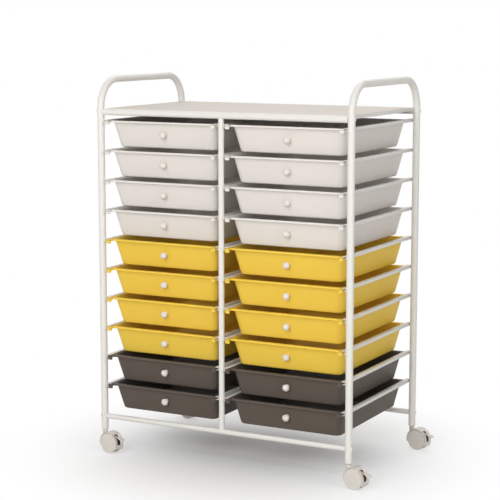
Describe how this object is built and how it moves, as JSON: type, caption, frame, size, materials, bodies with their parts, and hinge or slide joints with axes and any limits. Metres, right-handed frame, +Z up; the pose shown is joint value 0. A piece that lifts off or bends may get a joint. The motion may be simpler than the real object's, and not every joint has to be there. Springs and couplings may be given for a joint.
{
  "type": "rolling drawer cart",
  "caption": "Rolling storage cart: a tubular steel frame with loop handles holds two columns of sliding tray drawers under a flat top, on braked swivel casters.",
  "frame": {"origin": "on the floor, midway between the four posts", "axes": "+Z up, -Y out of the front where the drawers open, +X to the right seen from the front"},
  "size_m": [0.6864, 0.3951, 0.868],
  "materials": {
    "frame_paint": "satin cream powder coat",
    "shelf_board": "matte beige",
    "screw_steel": "satin cream paint over steel",
    "caster_plastic": "satin cream moulding",
    "wheel_plastic": "satin cream moulding",
    "knob_plastic": "soft gloss cream",
    "white_plastic": "satin warm white moulding",
    "yellow_plastic": "satin yellow moulding",
    "dark_plastic": "satin dark grey-brown moulding"
  },
  "bodies": {
    "frame": {"left_side_tube": "frame_paint", "right_side_tube": "frame_paint", "middle_posts": "frame_paint", "crossbars": "frame_paint", "drawer_rails": "frame_paint", "top_shelf": "shelf_board", "frame_fasteners": "screw_steel", "caster_sockets": "caster_plastic"},
    "drawer_left_01": {"drawer_left_01": "white_plastic", "knob_left_01": "knob_plastic"},
    "drawer_left_02": {"drawer_left_02": "white_plastic", "knob_left_02": "knob_plastic"},
    "drawer_left_03": {"drawer_left_03": "white_plastic", "knob_left_03": "knob_plastic"},
    "drawer_left_04": {"drawer_left_04": "white_plastic", "knob_left_04": "knob_plastic"},
    "drawer_left_05": {"drawer_left_05": "yellow_plastic", "knob_left_05": "knob_plastic"},
    "drawer_left_06": {"drawer_left_06": "yellow_plastic", "knob_left_06": "knob_plastic"},
    "drawer_left_07": {"drawer_left_07": "yellow_plastic", "knob_left_07": "knob_plastic"},
    "drawer_left_08": {"drawer_left_08": "yellow_plastic", "knob_left_08": "knob_plastic"},
    "drawer_left_09": {"drawer_left_09": "dark_plastic", "knob_left_09": "knob_plastic"},
    "drawer_left_10": {"drawer_left_10": "dark_plastic", "knob_left_10": "knob_plastic"},
    "drawer_right_01": {"drawer_right_01": "white_plastic", "knob_right_01": "knob_plastic"},
    "drawer_right_02": {"drawer_right_02": "white_plastic", "knob_right_02": "knob_plastic"},
    "drawer_right_03": {"drawer_right_03": "white_plastic", "knob_right_03": "knob_plastic"},
    "drawer_right_04": {"drawer_right_04": "white_plastic", "knob_right_04": "knob_plastic"},
    "drawer_right_05": {"drawer_right_05": "yellow_plastic", "knob_right_05": "knob_plastic"},
    "drawer_right_06": {"drawer_right_06": "yellow_plastic", "knob_right_06": "knob_plastic"},
    "drawer_right_07": {"drawer_right_07": "yellow_plastic", "knob_right_07": "knob_plastic"},
    "drawer_right_08": {"drawer_right_08": "yellow_plastic", "knob_right_08": "knob_plastic"},
    "drawer_right_09": {"drawer_right_09": "dark_plastic", "knob_right_09": "knob_plastic"},
    "drawer_right_10": {"drawer_right_10": "dark_plastic", "knob_right_10": "knob_plastic"},
    "caster_front_left": {"caster_hood_front_left": "caster_plastic"},
    "wheels_front_left": {"caster_wheels_front_left": "wheel_plastic"},
    "brake_front_left": {"brake_lever_front_left": "caster_plastic"},
    "caster_front_right": {"caster_hood_front_right": "caster_plastic"},
    "wheels_front_right": {"caster_wheels_front_right": "wheel_plastic"},
    "brake_front_right": {"brake_lever_front_right": "caster_plastic"},
    "caster_rear_left": {"caster_hood_rear_left": "caster_plastic"},
    "wheels_rear_left": {"caster_wheels_rear_left": "wheel_plastic"},
    "brake_rear_left": {"brake_lever_rear_left": "caster_plastic"},
    "caster_rear_right": {"caster_hood_rear_right": "caster_plastic"},
    "wheels_rear_right": {"caster_wheels_rear_right": "wheel_plastic"},
    "brake_rear_right": {"brake_lever_rear_right": "caster_plastic"}
  },
  "joints": [
    {"name": "slide_left_01", "type": "slide", "parent": "frame", "child": "drawer_left_01", "axis": [0, -1, 0], "range_m": [0, 0.26]},
    {"name": "slide_left_02", "type": "slide", "parent": "frame", "child": "drawer_left_02", "axis": [0, -1, 0], "range_m": [0, 0.26]},
    {"name": "slide_left_03", "type": "slide", "parent": "frame", "child": "drawer_left_03", "axis": [0, -1, 0], "range_m": [0, 0.26]},
    {"name": "slide_left_04", "type": "slide", "parent": "frame", "child": "drawer_left_04", "axis": [0, -1, 0], "range_m": [0, 0.26]},
    {"name": "slide_left_05", "type": "slide", "parent": "frame", "child": "drawer_left_05", "axis": [0, -1, 0], "range_m": [0, 0.26]},
    {"name": "slide_left_06", "type": "slide", "parent": "frame", "child": "drawer_left_06", "axis": [0, -1, 0], "range_m": [0, 0.26]},
    {"name": "slide_left_07", "type": "slide", "parent": "frame", "child": "drawer_left_07", "axis": [0, -1, 0], "range_m": [0, 0.26]},
    {"name": "slide_left_08", "type": "slide", "parent": "frame", "child": "drawer_left_08", "axis": [0, -1, 0], "range_m": [0, 0.26]},
    {"name": "slide_left_09", "type": "slide", "parent": "frame", "child": "drawer_left_09", "axis": [0, -1, 0], "range_m": [0, 0.26]},
    {"name": "slide_left_10", "type": "slide", "parent": "frame", "child": "drawer_left_10", "axis": [0, -1, 0], "range_m": [0, 0.26]},
    {"name": "slide_right_01", "type": "slide", "parent": "frame", "child": "drawer_right_01", "axis": [0, -1, 0], "range_m": [0, 0.26]},
    {"name": "slide_right_02", "type": "slide", "parent": "frame", "child": "drawer_right_02", "axis": [0, -1, 0], "range_m": [0, 0.26]},
    {"name": "slide_right_03", "type": "slide", "parent": "frame", "child": "drawer_right_03", "axis": [0, -1, 0], "range_m": [0, 0.26]},
    {"name": "slide_right_04", "type": "slide", "parent": "frame", "child": "drawer_right_04", "axis": [0, -1, 0], "range_m": [0, 0.26]},
    {"name": "slide_right_05", "type": "slide", "parent": "frame", "child": "drawer_right_05", "axis": [0, -1, 0], "range_m": [0, 0.26]},
    {"name": "slide_right_06", "type": "slide", "parent": "frame", "child": "drawer_right_06", "axis": [0, -1, 0], "range_m": [0, 0.26]},
    {"name": "slide_right_07", "type": "slide", "parent": "frame", "child": "drawer_right_07", "axis": [0, -1, 0], "range_m": [0, 0.26]},
    {"name": "slide_right_08", "type": "slide", "parent": "frame", "child": "drawer_right_08", "axis": [0, -1, 0], "range_m": [0, 0.26]},
    {"name": "slide_right_09", "type": "slide", "parent": "frame", "child": "drawer_right_09", "axis": [0, -1, 0], "range_m": [0, 0.26]},
    {"name": "slide_right_10", "type": "slide", "parent": "frame", "child": "drawer_right_10", "axis": [0, -1, 0], "range_m": [0, 0.26]},
    {"name": "swivel_front_left", "type": "hinge", "parent": "frame", "child": "caster_front_left", "pos_m": [-0.3095, -0.18015, 0.06], "axis": [0, 0, 1], "continuous": true},
    {"name": "spin_front_left", "type": "hinge", "parent": "caster_front_left", "child": "wheels_front_left", "pos_m": [-0.29043, -0.1842, 0.0235], "axis": [0.2079, 0.9781, 0], "continuous": true},
    {"name": "brake_front_left", "type": "hinge", "parent": "caster_front_left", "child": "brake_front_left", "pos_m": [-0.27869, -0.1867, 0.0375], "axis": [0.2079, 0.9781, 0], "range_deg": [0, 14]},
    {"name": "swivel_front_right", "type": "hinge", "parent": "frame", "child": "caster_front_right", "pos_m": [0.3095, -0.18015, 0.06], "axis": [0, 0, 1], "continuous": true},
    {"name": "spin_front_right", "type": "hinge", "parent": "caster_front_right", "child": "wheels_front_right", "pos_m": [0.32857, -0.1842, 0.0235], "axis": [0.2079, 0.9781, 0], "continuous": true},
    {"name": "brake_front_right", "type": "hinge", "parent": "caster_front_right", "child": "brake_front_right", "pos_m": [0.34031, -0.1867, 0.0375], "axis": [0.2079, 0.9781, 0], "range_deg": [0, 14]},
    {"name": "swivel_rear_left", "type": "hinge", "parent": "frame", "child": "caster_rear_left", "pos_m": [-0.3095, 0.18015, 0.06], "axis": [0, 0, 1], "continuous": true},
    {"name": "spin_rear_left", "type": "hinge", "parent": "caster_rear_left", "child": "wheels_rear_left", "pos_m": [-0.29043, 0.1761, 0.0235], "axis": [0.2079, 0.9781, 0], "continuous": true},
    {"name": "brake_rear_left", "type": "hinge", "parent": "caster_rear_left", "child": "brake_rear_left", "pos_m": [-0.27869, 0.1736, 0.0375], "axis": [0.2079, 0.9781, 0], "range_deg": [0, 14]},
    {"name": "swivel_rear_right", "type": "hinge", "parent": "frame", "child": "caster_rear_right", "pos_m": [0.3095, 0.18015, 0.06], "axis": [0, 0, 1], "continuous": true},
    {"name": "spin_rear_right", "type": "hinge", "parent": "caster_rear_right", "child": "wheels_rear_right", "pos_m": [0.32857, 0.1761, 0.0235], "axis": [0.2079, 0.9781, 0], "continuous": true},
    {"name": "brake_rear_right", "type": "hinge", "parent": "caster_rear_right", "child": "brake_rear_right", "pos_m": [0.34031, 0.1736, 0.0375], "axis": [0.2079, 0.9781, 0], "range_deg": [0, 14]}
  ]
}
